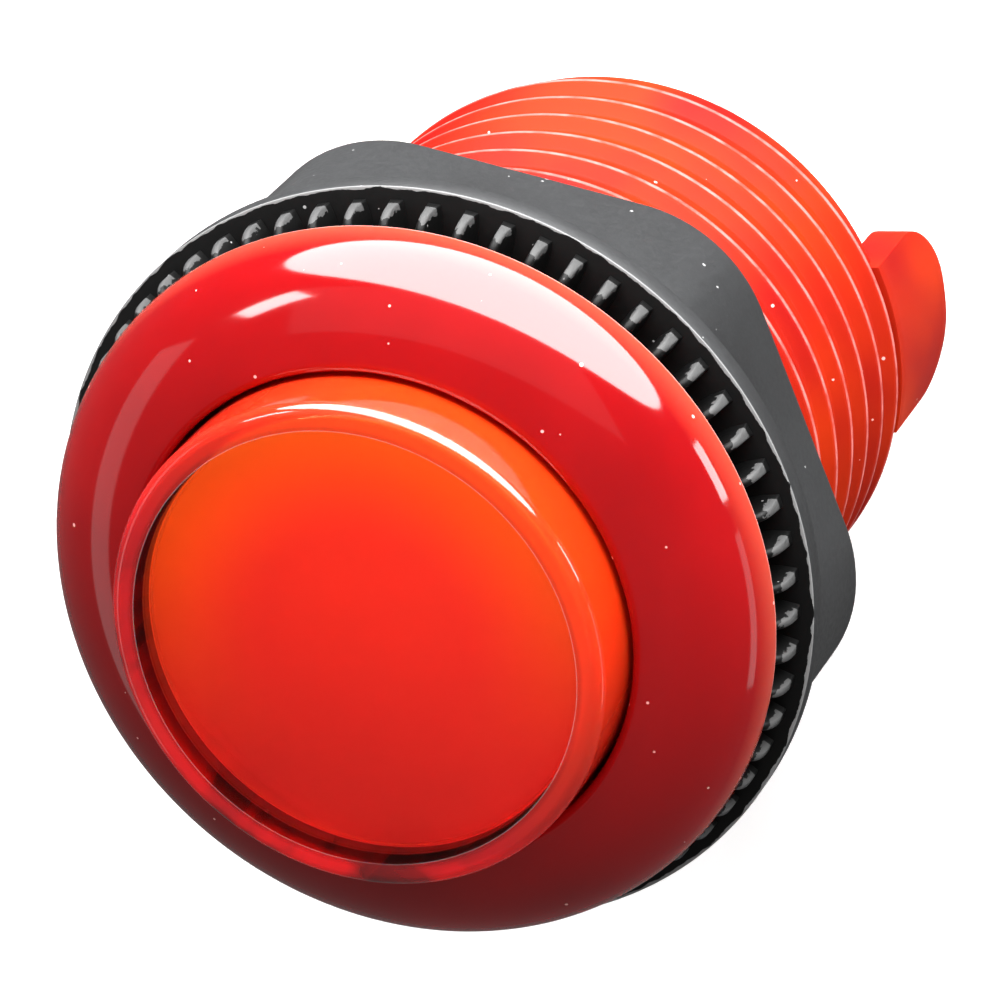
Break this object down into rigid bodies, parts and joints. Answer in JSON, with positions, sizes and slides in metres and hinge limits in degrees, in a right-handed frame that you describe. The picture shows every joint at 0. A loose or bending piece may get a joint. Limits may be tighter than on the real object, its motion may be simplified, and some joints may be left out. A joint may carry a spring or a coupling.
{
  "type": "arcade push button",
  "caption": "Screw-in arcade push button: translucent domed bezel on a threaded barrel, clear lit plunger, toothed panel nut, with lamp and snap switch inside.",
  "frame": {"origin": "on the button's axis, in the plane of the bezel's underside, which is the panel's front face", "axes": "+Z out of the panel's front along the button's axis, +X through one of the two rear ears, the switch on the -Y side"},
  "size_m": [0.0354, 0.0354, 0.0446],
  "materials": {
    "red_translucent": "gloss, translucent",
    "black_nylon": "matt, moulded",
    "red_clear": "gloss, clear",
    "milky_plastic": "satin, light spreading",
    "spring_steel": "drawn wire and strip",
    "white_plastic": "satin",
    "brass": "stamped",
    "clear_epoxy": "clear, cast",
    "tinned_wire": "tinned",
    "black_plastic": "satin, moulded",
    "red_pin_plastic": "satin",
    "contact_copper": "rolled strip",
    "contact_silver": "satin"
  },
  "bodies": {
    "housing": {"housing": "red_translucent", "barrel_thread": "red_translucent", "return_spring": "spring_steel", "lamp_holder": "white_plastic", "lamp_contact_left": "brass", "lamp_contact_right": "brass", "lamp_wedge_base": "white_plastic", "lamp_led": "clear_epoxy", "lamp_lead_left": "tinned_wire", "lamp_lead_right": "tinned_wire", "switch_case": "black_plastic", "switch_cover": "black_plastic", "lever_pin": "spring_steel", "common_terminal": "brass", "open_terminal": "brass", "closed_terminal": "brass"},
    "plunger": {"plunger_cap": "red_clear", "plunger_core": "milky_plastic"},
    "lever": {"switch_lever": "spring_steel"},
    "actuator": {"switch_actuator": "red_pin_plastic"},
    "blade": {"contact_blade": "contact_copper", "blade_rivet": "contact_silver"},
    "nut": {"panel_nut": "black_nylon", "nut_crown": "black_nylon"}
  },
  "joints": [
    {"name": "plunger_press", "type": "slide", "parent": "housing", "child": "plunger", "axis": [0, 0, -1], "range_m": [0, 0.0028], "stiffness_N_per_m": 300, "springref_m": -0.003, "deforming": ["return_spring"]},
    {"name": "lever_pivot", "type": "hinge", "parent": "housing", "child": "lever", "pos_m": [-0.0055, -0.0071, -0.0185], "axis": [0, 1, 0], "range_deg": [0, 15.5]},
    {"name": "actuator_slide", "type": "slide", "parent": "housing", "child": "actuator", "axis": [0, 0, -1], "range_m": [0, 0.00087]},
    {"name": "blade_pivot", "type": "hinge", "parent": "housing", "child": "blade", "pos_m": [0.0043, -0.0071, -0.02235], "axis": [0, -1, 0], "range_deg": [0, 7.75]},
    {"name": "nut_travel", "type": "slide", "parent": "housing", "child": "nut", "axis": [0, 0, -1], "range_m": [0, 0.018]}
  ],
  "couplings": [
    {"joint": "lever_pivot", "follows": "plunger_press", "rad_per_m": 96.41},
    {"joint": "actuator_slide", "follows": "plunger_press", "ratio": 0.30635},
    {"joint": "blade_pivot", "follows": "plunger_press", "rad_per_m": 47.97}
  ]
}
